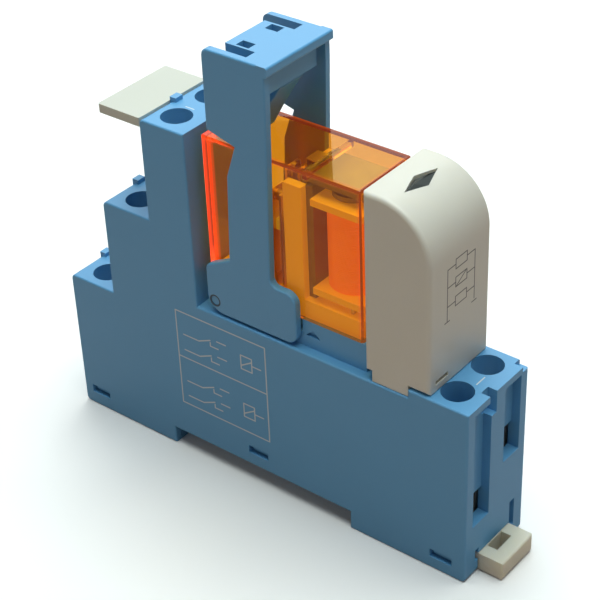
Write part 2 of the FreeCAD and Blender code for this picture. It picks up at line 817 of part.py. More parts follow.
def make_bottom_cover():
    """Tray that closes the housing from below: rail lip, latches, and the rail clip's guide."""
    left, right = "side_wall + cover_gap", "socket_len - side_wall - cover_gap"
    front, back = "side_wall + cover_gap", "socket_wide - side_wall - cover_gap"
    top = "cover_top - cover_gap"
    corners = [(left, "0"), ("left_foot_len", "0"), ("left_foot_len", "rail_slot_high"),
               ("rail_right", "rail_slot_high"), ("rail_right", "0"), (right, "0"), (right, top), (left, top)]
    blank = padded("cover_blank", "XZ_Plane", corners, (front, back))
    tray_y = (f"{front} + cover_wall", f"{back} - cover_wall")
    guide_y = grown(("bar_front", "bar_back"), "clip_gap")
    guide_x = ("rail_right - over", "socket_len")
    left_x = (f"{left} + cover_wall", "left_foot_len - cover_wall")
    middle_x = ("left_foot_len + cover_wall", "rail_right - cover_wall")
    tools = [
        box("left_tray", left_x, tray_y, ("cover_wall", "cover_top + over")),
        box("middle_tray", middle_x, tray_y, ("rail_slot_high + cover_wall", "cover_top + over")),
        box("clip_guide", guide_x, guide_y, ("-over", "clip_bar_top + clip_gap")),
    ]
    lip = box("rail_lip", ("left_foot_len - over", "left_foot_len + rail_lip_long"),
              around("mid_y", "rail_lip_wide / 2"), ("clip_bar_low", "rail_lip_top"))
    rib_z = ("clip_rib_low", "clip_rib_low + clip_rib_high")
    rib_rows = ((f"{guide_y[0]} - bite", f"{guide_y[0]} + clip_rib"),
                (f"{guide_y[1]} - clip_rib", f"{guide_y[1]} + bite"))
    ribs = [box("guide_rib", ("rail_right + clip_nose_step", right), y, rib_z) for y in rib_rows]
    post = box("clip_post", ("post_left", "post_right"), around("mid_y", "clip_post_half"),
               ("clip_bar_low", "clip_bar_top + clip_post_high"))
    lug_rows = (("side_wall - latch_deep", f"{front} + bite"),
                (f"{back} - bite", "socket_wide - side_wall + latch_deep"))
    lugs = [box("latch_lug", *[grown(x, "(-latch_gap)"), y, grown(z, "(-latch_gap)")])
            for row in lug_rows for x, y, z in latch_spans(row)]
    trimmed = cut("cover_trimmed", blank, tools)
    finish(fuse("bottom_cover", [trimmed, lip, post] + ribs + lugs), "bottom_cover")


# ---------------------------------------------------------------- terminal screws and clamp cages

def make_terminal(terminal):
    """Clamp cage round the strip, and the screw that turns in its roof."""
    name, x, y, entry = terminal.name, terminal.x, terminal.y, terminal.entry
    low, roof_low = f"{entry} - cage_low", f"{entry} + cage_roof_low"
    roof_top = f"{roof_low} + cage_roof"
    cage = box(f"cage_{name}_block", around(x, "cage_half_x"), around(y, "cage_half_y"), (low, roof_top))
    window = box(f"cage_{name}_window", around(x, "(cage_half_x + over)"),
                 around(y, "(cage_half_y - cage_wall)"), (f"{low} + cage_floor", roof_low))
    thread = rod(f"cage_{name}_thread", "z", (x, y), "shank_r + thread_gap",
                 (f"{roof_low} - bite", f"{roof_top} + bite"))
    finish(cut("clamp_cage_" + name, cage, [window, thread]), "clamp_cage_" + name)
    head_low = f"{entry} + screw_head_low"
    head_top = f"{head_low} + screw_head_thick"
    head = rod(f"screw_{name}_head", "z", (x, y), "screw_head_r", (head_low, head_top))
    shank = rod(f"screw_{name}_shank", "z", (x, y), "shank_r",
                (f"{entry} + strip_low + strip_thick + tip_gap", f"{head_low} + bite"))
    slot_z = (f"{head_top} - driver_slot_deep", f"{head_top} + over")
    slot = box(f"screw_{name}_slot", around(x, "driver_slot / 2"), around(y, "(screw_head_r + over)"), slot_z)
    cross = box(f"screw_{name}_cross", around(x, "cross_half"), around(y, "driver_slot / 2"), slot_z)
    solid = fuse(f"screw_{name}_solid", [head, shank])
    finish(cut("terminal_screw_" + name, solid, [slot, cross]), "terminal_screw_" + name)


# ---------------------------------------------------------------- relay

def make_relay_cover():
    """Clear cover open at the bottom, with rounded corners and a rib under its roof."""
    corners = [("relay_left", "relay_front"), ("relay_right", "relay_front"),
               ("relay_right", "relay_back"), ("relay_left", "relay_back")]
    blank = padded("relay_cover_blank", "XY_Plane", corners, ("relay_bottom", "relay_top"))
    round_corners(blank, "z", corners, "relay_round")
    round_rims(blank, "z", ["relay_top"], "relay_rim")
    inside_y = ("relay_front + relay_wall", "relay_back - relay_wall")
    ceiling = "relay_top - relay_wall"
    hollow = box("relay_cover_hollow", ("relay_left + relay_wall", "relay_right - relay_wall"), inside_y,
                 ("relay_bottom - over", ceiling))
    rib_left = "cheek_right + roof_rib_off"
    rib = box("relay_cover_rib", (rib_left, f"{rib_left} + relay_wall"), grown(inside_y, "bite"),
              (f"{ceiling} - relay_wall", f"{ceiling} + bite"))
    finish(fuse("relay_cover", [cut("relay_cover_shell", blank, [hollow]), rib]), "relay_cover")


def pin_span(pin_x, lane):
    """One plug pin, from below the relay up into its base."""
    return (around(pin_x, "pin_thick / 2"), around(LANES[lane][1], "pin_wide / 2"),
            ("relay_bottom - pin_long", "base_top - plate_thick"))


def contact_spans(kind, lane):
    """Pin, run and riser of one fixed piece of a changeover contact, then its upright plate."""
    pin_x = {"open": "open_pin_x", "common": "common_pin_x", "closed": "closed_pin_x"}[kind]
    plate = {"open": "open_plate_x", "common": "blade_right", "closed": "closed_plate_x"}[kind]
    high = "blade_foot_high" if kind == "common" else "plate_high"
    y = around(LANES[lane][1], "pin_wide / 2")
    plate_x = (plate, f"{plate} + plate_thick")
    if kind == "closed":
        run_x = (plate, f"{pin_x} + pin_thick / 2")
    else:
        run_x = (f"{pin_x} - pin_thick / 2", plate_x[1])
    run = (run_x, y, ("base_top - plate_thick * 2", "base_top - plate_thick"))
    riser = (plate_x, y, ("base_top - plate_thick * 2", "base_top + plate_thick"))
    upright = (plate_x, blade_row(lane), ("base_top + relay_gap", f"base_top + {high}"))
    return [pin_span(pin_x, lane), run, riser], upright


def row_middle(lane):
    """Middle of one pole's contact plates across the socket."""
    sign = {"front": "-", "back": "+"}[lane]
    return f"mid_y {sign} (pin_offset - blade_row_in)"


def blade_row(lane):
    """Width of the contact plates and blades of one pole."""
    return around(row_middle(lane), "blade_half")


def rivet(name, lane, span):
    """Contact rivet lying along X at the meeting height."""
    return rod(name, "x", (row_middle(lane), "contact_z"), "rivet_r", span)


def make_relay_contacts():
    """Fixed plates with rivets, the common feet, and the moving blades."""
    rivet_spans = {"open": ("open_plate_x + plate_thick - bite", "open_plate_x + plate_thick + rivet_long"),
                   "closed": ("closed_plate_x - rivet_long", "closed_plate_x + bite")}
    for lane in LANES:
        for kind in ("open", "common", "closed"):
            name = f"{kind}_contact_{lane}"
            legs, upright = contact_spans(kind, lane)
            pieces = [box(name + "_leg", *span) for span in legs + [upright]]
            if kind in rivet_spans:
                pieces.append(rivet(name + "_rivet", lane, rivet_spans[kind]))
            finish(fuse(name, pieces), name)
        name = "contact_blade_" + lane
        blade = box(name + "_leaf", ("blade_x", "blade_right"), blade_row(lane),
                    ("base_top + blade_foot_gap", "base_top + blade_high"))
        faces = rivet(name + "_rivet", lane, ("blade_x - rivet_long", "blade_right + rivet_long"))
        finish(fuse(name, [blade, faces]), name)


def insert_slot(name, span):
    """Slot a hair larger than a moulded-in piece."""
    return box(name, *[grown(side, "insert_gap") for side in span])


def make_relay_base():
    """Base plate with two cheeks that carry the armature spring, slotted for pins and plates."""
    inset = "relay_wall + relay_gap"
    x = (f"relay_left + {inset}", f"relay_right - ({inset})")
    y = (f"relay_front + {inset}", f"relay_back - ({inset})")
    plate = box("relay_base_plate", x, y, ("relay_bottom + relay_gap", "base_top"))
    cheeks = [box("relay_base_cheek", ("cheek_left", "cheek_right"), side,
                  ("base_top - bite", "armature_low - cheek_down"))
              for side in ((y[0], "cheek_in"), ("cheek_out", y[1]))]
    tie_low = "card_mid_z + tie_up"
    tie = box("relay_base_tie", ("cheek_left", "cheek_left + tie_thick"),
              grown(("cheek_in", "cheek_out"), "bite"), (tie_low, f"{tie_low} + tie_high"))
    solid = fuse("relay_base_solid", [plate, cheeks[0], cheeks[1], tie])
    slots = []
    for lane in LANES:
        for kind in ("open", "common", "closed"):
            legs, (plate_x, plate_y, _) = contact_spans(kind, lane)
            slots += [insert_slot("leg_slot", span) for span in legs]
            slots.append(insert_slot("plate_slot", (plate_x, plate_y,
                                                    ("base_top - plate_thick * 2", "base_top + over"))))
        slots.append(insert_slot("coil_pin_slot", coil_pin_span(lane)))
    finish(cut("relay_base", solid, slots), "relay_base")


def coil_pin_span(lane):
    """Coil pin, from below the relay up to the bobbin's lower flange."""
    x, y, _ = pin_span("coil_pin_x", lane)
    return (x, y, ("relay_bottom - pin_long", "flange_one - rest_gap"))


def make_coil():
    """Yoke, core, bobbin, winding and coil pins."""
    centre = ("coil_x", "mid_y")
    low = "base_top + relay_gap"
    arm = box("yoke_arm", ("yoke_left", "yoke_right"), around("mid_y", "yoke_half"), (low, "yoke_top"))
    floor = box("yoke_floor", ("yoke_left", "coil_x + core_r + yoke_floor_past"),
                around("mid_y", "(pin_offset - pin_wide)"), (low, "yoke_floor_top"))
    finish(fuse("yoke", [arm, floor]), "yoke")
    stem = rod("core_stem", "z", centre, "core_r", ("yoke_floor_top", "core_top - bite"))
    cap = rod("core_cap", "z", centre, "core_cap_r", ("core_top - core_cap_high", "core_top"))
    finish(fuse("coil_core", [stem, cap]), "coil_core")
    tube_r = "core_r + bobbin_wall"
    tube = rod("bobbin_tube", "z", centre, tube_r, ("flange_one", "flange_two_top"))
    flange_x = ("yoke_right + relay_gap", "relay_right - relay_wall - relay_gap")
    flanges = [box("bobbin_flange", flange_x, around("mid_y", "(yoke_half + flange_past_yoke)"), z)
               for z in (("flange_one", "winding_low"), ("winding_top", "flange_two_top"))]
    bore = rod("bobbin_bore", "z", centre, "core_r + insert_gap",
               grown(("flange_one", "flange_two_top"), "over"))
    finish(cut("coil_bobbin", fuse("bobbin_solid", [tube] + flanges), [bore]), "coil_bobbin")
    wound = ("winding_low", "winding_top")
    full = rod("winding_full", "z", centre, "winding_r", grown(wound, "(-insert_gap)"))
    middle = rod("winding_bore", "z", centre, f"{tube_r} + insert_gap", grown(wound, "over"))
    finish(cut("coil_winding", full, [middle]), "coil_winding")
    finish(group("coil_pins", [box("coil_pin", *coil_pin_span(lane)) for lane in LANES]), "coil_pins")


def make_armature():
    """L-shaped armature, its leaf spring, and the card that pushes the blades."""
    y = around("mid_y", "armature_half")
    top = box("armature_plate", ("leg_left", "coil_x + core_cap_r + armature_past_core"), y,
              ("armature_low", "armature_top"))
    leg = box("armature_leg", ("leg_left", "leg_right"), y,
              ("armature_low - armature_leg", "armature_low + bite"))
    finish(fuse("armature", [top, leg]), "armature")
    spring_y = around("mid_y", "blade_half")
    tail_x = "leg_left - spring_back"
    arm_low = "armature_top + spring_clear"
    arm_top = f"{arm_low} + blade_thick"
    tail = box("spring_tail", (tail_x, f"{tail_x} + blade_thick"), spring_y,
               ("card_mid_z + tie_up + leg_air", arm_top))
    arm = box("spring_arm", (tail_x, "leg_right + spring_past"), spring_y, (arm_low, arm_top))
    dimple = rod("spring_dimple", "z", ("leg_left + dimple_in", "mid_y"), "dimple_r",
                 ("armature_top + relay_gap", f"{arm_low} + rest_gap"))
    finish(fuse("armature_spring", [tail, arm, dimple]), "armature_spring")
    card_left = "blade_right + card_gap"
    card_z = around("card_mid_z", "card_high / 2")
    stem = box("card_stem", (card_left, "leg_left - card_gap"), around("mid_y", "card_half"), card_z)
    bar = box("card_bar", (card_left, f"{card_left} + card_bar"),
              around("mid_y", "(pin_offset + card_past_pins)"), card_z)
    finish(fuse("pusher_card", [stem, bar]), "pusher_card")


# ---------------------------------------------------------------- indicator module

def module_outline(inset, bottom):
    """Side outline of the module cover, drawn in from its outer surface by an inset."""
    left, right, top = f"module_left + {inset}", f"module_right - {inset}", f"module_top - {inset}"
    return [(left, bottom), (right, bottom), (right, top), (left, top)]


def diamond(name, gap, z):
    """Prism of diamond outline, long across the socket."""
    half_x, half_y = f"(lens_half_x + {gap})", f"(lens_half_y + {gap} * 3)"
    corners = [(f"lens_x - {half_x}", "mid_y"), ("lens_x", f"mid_y - {half_y}"),
               (f"lens_x + {half_x}", "mid_y"), ("lens_x", f"mid_y + {half_y}")]
    return padded(name, "XY_Plane", corners, z)


def make_module_cover():
    """Cream cover: one large rounded shoulder, a diamond window, two skirts and a notch to lever it out."""
    corners = module_outline("0", "module_bottom")
    blank = padded("module_blank", "XZ_Plane", corners, ("module_front", "module_back"))
    round_corners(blank, "y", [corners[2]], "module_round")
    round_rims(blank, "y", ["module_front", "module_back"], "module_edge_round")
    inner = module_outline("module_wall", "module_bottom - over")
    hollow = padded("module_hollow", "XZ_Plane", inner,
                    ("module_front + module_wall", "module_back - module_wall"))
    round_corners(hollow, "y", [inner[2]], "module_round - module_wall")
    window = diamond("lens_window", "lens_gap", ("module_top - lens_thick - over", "module_top + over"))
    skirt_left = "module_left + tongue_in"
    skirt_x = (skirt_left, f"{skirt_left} + tongue_long")
    skirt_z = ("ledge_top + cover_gap", "module_bottom + module_base_thick")
    skirts = [box("module_skirt", skirt_x, row, skirt_z)
              for row in (("module_front", "module_front + module_wall"),
                          ("module_back - module_wall", "module_back"))]
    lever_low = "module_bottom + lever_up"
    lever = box("lever_notch", ("module_right - lever_deep", "module_right + over"),
                ("module_front + lever_in", "module_front + lever_in + lever_wide"),
                (lever_low, f"{lever_low} + lever_high"))
    solid = fuse("module_solid", [cut("module_shell", blank, [hollow, window])] + skirts)
    finish(cut("module_cover", solid, [lever]), "module_cover")


def make_module_works():
    """Light window, base with tongue, pins, board and the parts on the board."""
    finish(diamond("status_lens", "0", ("module_top - lens_thick", "module_top - lens_sunk")), "status_lens")
    inset = "(module_wall + cover_gap)"
    base_top = "module_bottom + module_base_thick"
    plate = box("module_base_plate", (f"module_left + {inset}", f"module_right - {inset}"),
                (f"module_front + {inset}", f"module_back - {inset}"), ("module_bottom - bite", base_top))
    tongue_left = "module_left + tongue_in"
    tongue = box("module_tongue", (tongue_left, f"{tongue_left} + tongue_long"),
                 around("mid_y", "tongue_half"), ("ledge_top + cover_gap", "module_bottom"))
    pins = [(around("module_pin_x", "pin_thick / 2"), around(LANES[lane][1], "pin_wide / 2"),
             ("ledge_top - pin_long", f"{base_top} + module_pin_up")) for lane in LANES]
    slots = [insert_slot("module_pin_slot", span) for span in pins]
    finish(cut("module_base", fuse("module_base_solid", [plate, tongue]), slots), "module_base")
    finish(group("module_pins", [box("module_pin", *span) for span in pins]), "module_pins")
    board_x = ("board_left", "board_left + board_long")
    board = box("board_plate", board_x, around("mid_y", "board_thick / 2"), ("board_low", "board_top"))
    finish(group("circuit_board", [board]), "circuit_board")
    led_top = "board_top + led_high"
    dome = doc.addObject("Part::Sphere", "led_dome")
    dome.setExpression("Radius", bound("led_r"))
    for letter, formula in zip("xyz", ("lens_x", "mid_y", led_top)):
        dome.setExpression("Placement.Base." + letter, bound(formula))
    body = rod("led_body", "z", ("lens_x", "mid_y"), "led_r", ("board_top", led_top))
    finish(fuse("status_led", [body, dome]), "status_led")
    mid_x = "board_left + board_long / 2"
    front_face, back_face = "mid_y - board_thick / 2", "mid_y + board_thick / 2"
    disc = rod("varistor_disc", "y", (mid_x, "board_low + varistor_up"), "varistor_r",
               (f"{front_face} - varistor_thick", front_face))
    finish(group("varistor", [disc]), "varistor")
    barrel_low = "board_low + resistor_up"
    barrel = rod("resistor_barrel", "z", (mid_x, f"{back_face} + resistor_r"), "resistor_r",
                 (barrel_low, f"{barrel_low} + resistor_long"))
    finish(group("resistor", [barrel]), "resistor")


# ---------------------------------------------------------------- retaining clip

def clip_point(across, up):
    """Corner of the clip measured from its pivot."""
    return (f"pivot_x + {across}", f"pivot_z + {up}")


def make_retaining_clip():
    """Two arms joined by a bridge with a brim over the relay, with a grip skirt and lifting lugs."""
    corners = [clip_point("head_left", "clip_high"), clip_point("head_right", "clip_high"),
               clip_point("head_right", "taper_up"), clip_point("column_right", "foot_top"),
               clip_point("foot_right", "foot_top"), ("pivot_x + foot_right", "clip_bottom"),
               ("pivot_x - eye_left", "clip_bottom"), ("pivot_x - eye_left", "pivot_z + heel_up"),
               clip_point("column_left", "shoulder_up"), clip_point("waist_in", "waist_up"),
               clip_point("neck_in", "neck_up"), clip_point("head_left", "head_low")]
    blank = padded("clip_blank", "XZ_Plane", corners, ("clip_front", "clip_back"))
    round_corners(blank, "y", [corners[0]], "head_round")
    round_corners(blank, "y", [corners[3], corners[7]], "waist_round")
    round_corners(blank, "y", [corners[1]], "head_end_round")
    round_corners(blank, "y", [corners[4], corners[5]], "foot_corner")
    round_corners(blank, "y", [corners[6]], "eye_round")
    round_rims(blank, "y", ["clip_front", "clip_back"], "edge_round")
    beyond = "pivot_x - eye_left - over"
    inside_y = ("arm_in_front", "arm_in_back")
    under = "clip_top - bridge_thick"
    above = (f"{under} - over", "clip_top + over")
    head = "pivot_x + head_left"
    hole_x = (f"{head} + clip_hole_in", f"{head} + clip_hole_in + clip_hole_long")
    slot_x = (beyond, "pivot_x + head_right - bridge_join")
    slot_rows = (("arm_in_front", "arm_in_front + bridge_slot"), ("arm_in_back - bridge_slot", "arm_in_back"))
    tools = [
        box("clip_between", (beyond, "pivot_x + foot_right + over"), inside_y, ("clip_bottom - over", under)),
        box("bridge_edge", (beyond, f"{head} + bridge_in"), inside_y, above),
        rod("pivot_bore", "y", ("pivot_x", "pivot_z"), "pivot_r + pivot_gap", ("0", "socket_wide")),
    ]
    tools += [box("bridge_side_slot", slot_x, y, above) for y in slot_rows]
    tools += [box("bridge_hole", hole_x, around(f"mid_y {sign} clip_hole_out", "clip_hole_wide / 2"), above)
              for sign in "-+"]
    skirt = box("grip_skirt", ("skirt_left", "skirt_right"), around("mid_y", "skirt_half"),
                ("skirt_bottom", f"{under} + bite"))
    lug_rows = (("arm_in_front - bite", "arm_in_front + lug_wide"),
                ("arm_in_back - lug_wide", "arm_in_back + bite"))
    lugs = [box("lifting_lug", ("lug_left", "lug_left + lug_long"), y, ("lug_top - lug_high", "lug_top"))
            for y in lug_rows]
    brim_right = "pivot_x + head_right + brim_out"
    brim_left = "pivot_x + head_right - bridge_thick"
    brim_low = "clip_top - brim_high"
    brim_corners = [(brim_left, brim_low), (brim_right, brim_low), (brim_right, "clip_top"),
                    (brim_left, "clip_top")]
    brim = padded("clip_brim", "XZ_Plane", brim_corners, ("clip_front", "clip_back"))
    round_corners(brim, "y", [brim_corners[1], brim_corners[2]], "brim_round")
    finish(fuse("retaining_clip", [cut("clip_arms", blank, tools), skirt, brim] + lugs), "retaining_clip")


def make_retaining_finger():
    """Sloping spring finger from the skirt down to the relay's roof."""
    foot = "skirt_right - finger_lean"
    corners = [("skirt_left", "skirt_bottom"), ("skirt_right", "skirt_bottom"),
               ("skirt_right", "skirt_bottom - finger_root"), (f"{foot} + finger_toe", "finger_tip_z"),
               (foot, "finger_tip_z"), (f"{foot} - finger_toe_back", "finger_tip_z + finger_toe_lift"),
               ("skirt_left", "skirt_bottom - finger_root / 3")]
    blank = padded("finger_blank", "XZ_Plane", corners, around("mid_y", "finger_half"))
    finish(blank, "retaining_finger")


# ---------------------------------------------------------------- rail clip and marker tag

def make_rail_clip():
    """Sliding bar that hooks under the rail, with a pull tab and loop outside the socket."""
    step = "rail_right + clip_nose_step"
    corners = [("bar_left", "clip_bar_low"), ("bar_right", "clip_bar_low"), ("bar_right", "clip_bar_top"),
               (step, "clip_bar_top"), (step, "rail_lip_top"), ("bar_left + over", "rail_lip_top"),
               ("bar_left", "clip_bar_low + clip_nose_ramp")]
    blank = padded("rail_clip_blank", "XZ_Plane", corners, ("bar_front", "bar_back"))
    round_rims(blank, "x", ["bar_right"], "edge_round")
    high = ("clip_bar_low - over", "clip_bar_top + over")
    rib_z = grown(("clip_rib_low", "clip_rib_low + clip_rib_high"), "clip_gap")
    groove_x = ("bar_left - over", "socket_len - side_wall")
    tools = [
        box("tab_loop", ("socket_len + bite", "socket_len + clip_loop_long"),
            around("mid_y", "clip_loop_wide / 2"), high),
        box("post_slot", ("post_left - clip_travel - clip_gap", "post_right + clip_gap"),
            around("mid_y", "(clip_post_half + clip_gap)"), high),
        box("front_groove", groove_x, ("bar_front - over", "bar_front + clip_rib"), rib_z),
        box("back_groove", groove_x, ("bar_back - clip_rib", "bar_back + over"), rib_z),
    ]
    finish(cut("rail_clip", blank, tools), "rail_clip")


def make_marker_tag():
    """Writing plate whose tongue slides into the terminal block."""
    y = around("mid_y", "tag_wide / 2")
    corners = [("tag_left", y[0]), ("tag_right", y[0]), ("tag_right", y[1]), ("tag_left", y[1])]
    plate = padded("tag_plate", "XY_Plane", corners, ("tag_low", "tag_top"))
    round_corners(plate, "z", corners, "edge_round")
    tongue = box("tag_tongue", ("tag_right - over", "tag_right + tag_tongue_long"),
                 around("mid_y", "tag_tongue_half"), ("tag_low + tag_gap", "tag_low + tag_tongue_thick"))
    finish(fuse("marker_tag", [plate, tongue]), "marker_tag")


# ---------------------------------------------------------------- build, check, write

def check_and_write():
    """Stop on any failed object or broken solid, then write one file per sub-part."""
    failed = [item.Name for item in doc.Objects if "Invalid" in item.State or "Error" in item.State]
    if failed:
        raise RuntimeError("failed objects: " + ", ".join(failed))
    os.makedirs("parts", exist_ok=True)
    for piece in subparts:
        shape = piece.Shape
        if shape.isNull() or not shape.isValid() or not shape.Solids:
            raise RuntimeError("broken solid: " + piece.Label)
        shape.exportStep(f"parts/{piece.Label}.step")
    print(len(subparts), "sub-parts written")


make_sheets()
make_strips()
make_housing()
make_bottom_cover()
for terminal in TERMINALS:
    make_terminal(terminal)
make_relay_cover()
make_relay_base()
make_relay_contacts()
make_coil()
make_armature()
make_module_cover()
make_module_works()
make_retaining_clip()
make_retaining_finger()
make_rail_clip()
make_marker_tag()
doc.recompute()
check_and_write()
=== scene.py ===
"""Looks of the plug-in relay on its rail socket: finishes, printed lines, wound wire, light and camera.

Lengths given in millimetres are in socket coordinates, X from the socket's left end, Y from its front
face and Z from its feet, and place() carries them to the frame's metres.
"""

import json
import math

import bpy
import numpy as np
from mathutils import Matrix, Vector


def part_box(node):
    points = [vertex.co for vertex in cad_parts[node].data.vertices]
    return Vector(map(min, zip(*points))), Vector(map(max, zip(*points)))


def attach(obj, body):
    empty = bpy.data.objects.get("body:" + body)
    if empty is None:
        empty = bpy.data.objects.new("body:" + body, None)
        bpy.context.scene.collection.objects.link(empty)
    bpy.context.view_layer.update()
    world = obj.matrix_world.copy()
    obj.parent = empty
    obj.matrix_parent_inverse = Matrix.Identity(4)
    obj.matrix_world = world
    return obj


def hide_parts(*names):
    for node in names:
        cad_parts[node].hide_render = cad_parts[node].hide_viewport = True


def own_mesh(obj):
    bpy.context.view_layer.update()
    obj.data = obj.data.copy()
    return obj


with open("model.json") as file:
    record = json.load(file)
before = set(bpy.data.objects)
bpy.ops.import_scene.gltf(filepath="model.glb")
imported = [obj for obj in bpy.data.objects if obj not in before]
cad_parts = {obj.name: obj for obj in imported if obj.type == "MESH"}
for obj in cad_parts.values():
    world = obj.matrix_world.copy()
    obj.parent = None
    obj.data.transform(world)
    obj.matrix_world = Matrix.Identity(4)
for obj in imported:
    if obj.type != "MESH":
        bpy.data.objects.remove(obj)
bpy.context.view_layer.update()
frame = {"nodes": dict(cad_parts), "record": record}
scene = bpy.context.scene
MM = 0.001
ORIGIN = np.array((41.45, 7.9, 0.0))


def place(point):
    """Socket coordinates in millimetres as metres in the frame."""
    return (np.asarray(point, float) - ORIGIN) * MM


# ---------------------------------------------------------------- shader building blocks

def new_group(name, inputs, outputs):
    """Empty shader node group; inputs and outputs are (name, kind, default)."""
    group = bpy.data.node_groups.new(name, "ShaderNodeTree")
    for label, kind, default in inputs:
        socket = group.interface.new_socket(label, in_out="INPUT", socket_type="NodeSocket" + kind)
        socket.default_value = default
    for label, kind, _ in outputs:
        group.interface.new_socket(label, in_out="OUTPUT", socket_type="NodeSocket" + kind)
    return group, group.nodes.new("NodeGroupInput"), group.nodes.new("NodeGroupOutput")


def put(tree, kind, settings=None, **inputs):
    """Add a node, set its properties, and fill its inputs with numbers or other nodes' outputs."""
    node = tree.nodes.new(kind)
    for name, setting in (settings or {}).items():
        setattr(node, name, setting)
    for name, given in inputs.items():
        socket = node.inputs[int(name[1:])] if name[0] == "i" and name[1:].isdigit() \
            else node.inputs[name.replace("_", " ")]
        if isinstance(given, bpy.types.NodeSocket):
            tree.links.new(given, socket)
        else:
            socket.default_value = given
    return node


def maths(tree, operation, first, second=0.0, third=0.0, clamp=False):
    """One Math node and its output."""
    settings = {"operation": operation, "use_clamp": clamp}
    return put(tree, "ShaderNodeMath", settings, i0=first, i1=second, i2=third).outputs[0]


def vector_maths(tree, operation, first, second=(0.0, 0.0, 0.0), out=0):
    """One Vector Math node and its vector (0) or number (1) output."""
    return put(tree, "ShaderNodeVectorMath", {"operation": operation}, i0=first, i1=second).outputs[out]


def ramp_down(tree, distance, edge, soft):
    """1 below edge, falling smoothly to 0 over a soft width."""
    return put(tree, "ShaderNodeMapRange", {"interpolation_type": "SMOOTHSTEP"}, Value=distance,
               From_Min=edge - soft / 2, From_Max=edge + soft / 2, To_Min=1.0, To_Max=0.0).outputs[0]


def mix_colours(tree, mask, first, second):
    """Colour that runs from first to second as the mask goes from 0 to 1."""
    node = tree.nodes.new("ShaderNodeMix")
    node.data_type = "RGBA"
    for index, given in ((0, mask), (6, first), (7, second)):
        if isinstance(given, bpy.types.NodeSocket):
            tree.links.new(given, node.inputs[index])
        else:
            node.inputs[index].default_value = given
    return node.outputs[2]


# ---------------------------------------------------------------- shared effects

def make_moulded_grain():
    """Skin of moulded plastic: a slow drift of tone, a fine pebble for the bump, a gloss that wanders."""
    group, given, out = new_group(
        "moulded_grain",
        [("Vector", "Vector", (0, 0, 0)), ("Pebble Size", "Float", 4000.0), ("Tone", "Float", 0.04),
         ("Gloss", "Float", 0.4), ("Gloss Drift", "Float", 0.05)],
        [("Tone Mask", "Float", 0), ("Pebble", "Float", 0), ("Roughness", "Float", 0)])
    at = given.outputs
    slow = put(group, "ShaderNodeTexNoise", Vector=at["Vector"], Scale=90.0, Detail=3.0)
    fine = put(group, "ShaderNodeTexNoise", Vector=at["Vector"], Scale=at["Pebble Size"], Detail=2.0)
    swing = maths(group, "SUBTRACT", slow.outputs[0], 0.5)
    tone = maths(group, "MULTIPLY_ADD", swing, at["Tone"], 0.5)
    rough = maths(group, "MULTIPLY_ADD", swing, at["Gloss Drift"], at["Gloss"])
    group.links.new(tone, out.inputs["Tone Mask"])
    group.links.new(fine.outputs[0], out.inputs["Pebble"])
    group.links.new(rough, out.inputs["Roughness"])
    return group


def make_stroke():
    """Printed stroke: 1 within half a width of the straight line from Start to End, 0 beyond it.

    The nearest point on the line is Start + h (End - Start), with h = (P - Start).(End - Start) over
    the line's squared length, kept between 0 and 1. The mask is never under Below, so strokes add up.
    """
    group, given, out = new_group(
        "printed_stroke",
        [("Vector", "Vector", (0, 0, 0)), ("Start", "Vector", (0, 0, 0)), ("End", "Vector", (0, 0, 0)),
         ("Half Width", "Float", 0.0001), ("Edge", "Float", 0.00005), ("Below", "Float", 0.0)],
        [("Mask", "Float", 0)])
    at = given.outputs
    along = vector_maths(group, "SUBTRACT", at["End"], at["Start"])
    reach = vector_maths(group, "SUBTRACT", at["Vector"], at["Start"])
    share = maths(group, "DIVIDE", vector_maths(group, "DOT_PRODUCT", reach, along, out=1),
                  vector_maths(group, "DOT_PRODUCT", along, along, out=1), clamp=True)
    scaled = put(group, "ShaderNodeVectorMath", {"operation": "SCALE"}, i0=along, Scale=share).outputs[0]
    distance = vector_maths(group, "LENGTH", vector_maths(group, "SUBTRACT", reach, scaled), out=1)
    over = maths(group, "SUBTRACT", distance, at["Half Width"])
    fade = maths(group, "DIVIDE", over, at["Edge"])
    mask = maths(group, "SUBTRACT", 0.5, fade, clamp=True)
    group.links.new(maths(group, "MAXIMUM", mask, at["Below"]), out.inputs["Mask"])
    return group


def make_metal_grain():
    """Rolled or plated metal: long faint scratches, a patchy tone and a roughness that follows both."""
    group, given, out = new_group(
        "metal_grain",
        [("Vector", "Vector", (0, 0, 0)), ("Gloss", "Float", 0.3), ("Spread", "Float", 0.15)],
        [("Tone Mask", "Float", 0), ("Scratch", "Float", 0), ("Roughness", "Float", 0)])
    at = given.outputs
    patchy = put(group, "ShaderNodeTexNoise", Vector=at["Vector"], Scale=500.0, Detail=4.0)
    drawn = put(group, "ShaderNodeMapping", Vector=at["Vector"], Scale=(6000.0, 6000.0, 300.0))
    scratch = put(group, "ShaderNodeTexNoise", Vector=drawn.outputs[0], Scale=1.0, Detail=3.0)
    rough = maths(group, "MULTIPLY_ADD", patchy.outputs[0], at["Spread"], at["Gloss"])
    group.links.new(patchy.outputs[0], out.inputs["Tone Mask"])
    group.links.new(scratch.outputs[0], out.inputs["Scratch"])
    group.links.new(rough, out.inputs["Roughness"])
    return group


MOULDED_GRAIN = make_moulded_grain()
STROKE = make_stroke()
METAL_GRAIN = make_metal_grain()


# ---------------------------------------------------------------- materials

def start_material(name):
    """Material with its Principled shader and its piece's own coordinates."""
    material = bpy.data.materials.new(name)
    material.use_nodes = True
    tree = material.node_tree
    shader = tree.nodes["Principled BSDF"]
    where = tree.nodes.new("ShaderNodeTexCoord").outputs["Object"]
    return material, tree, shader, where


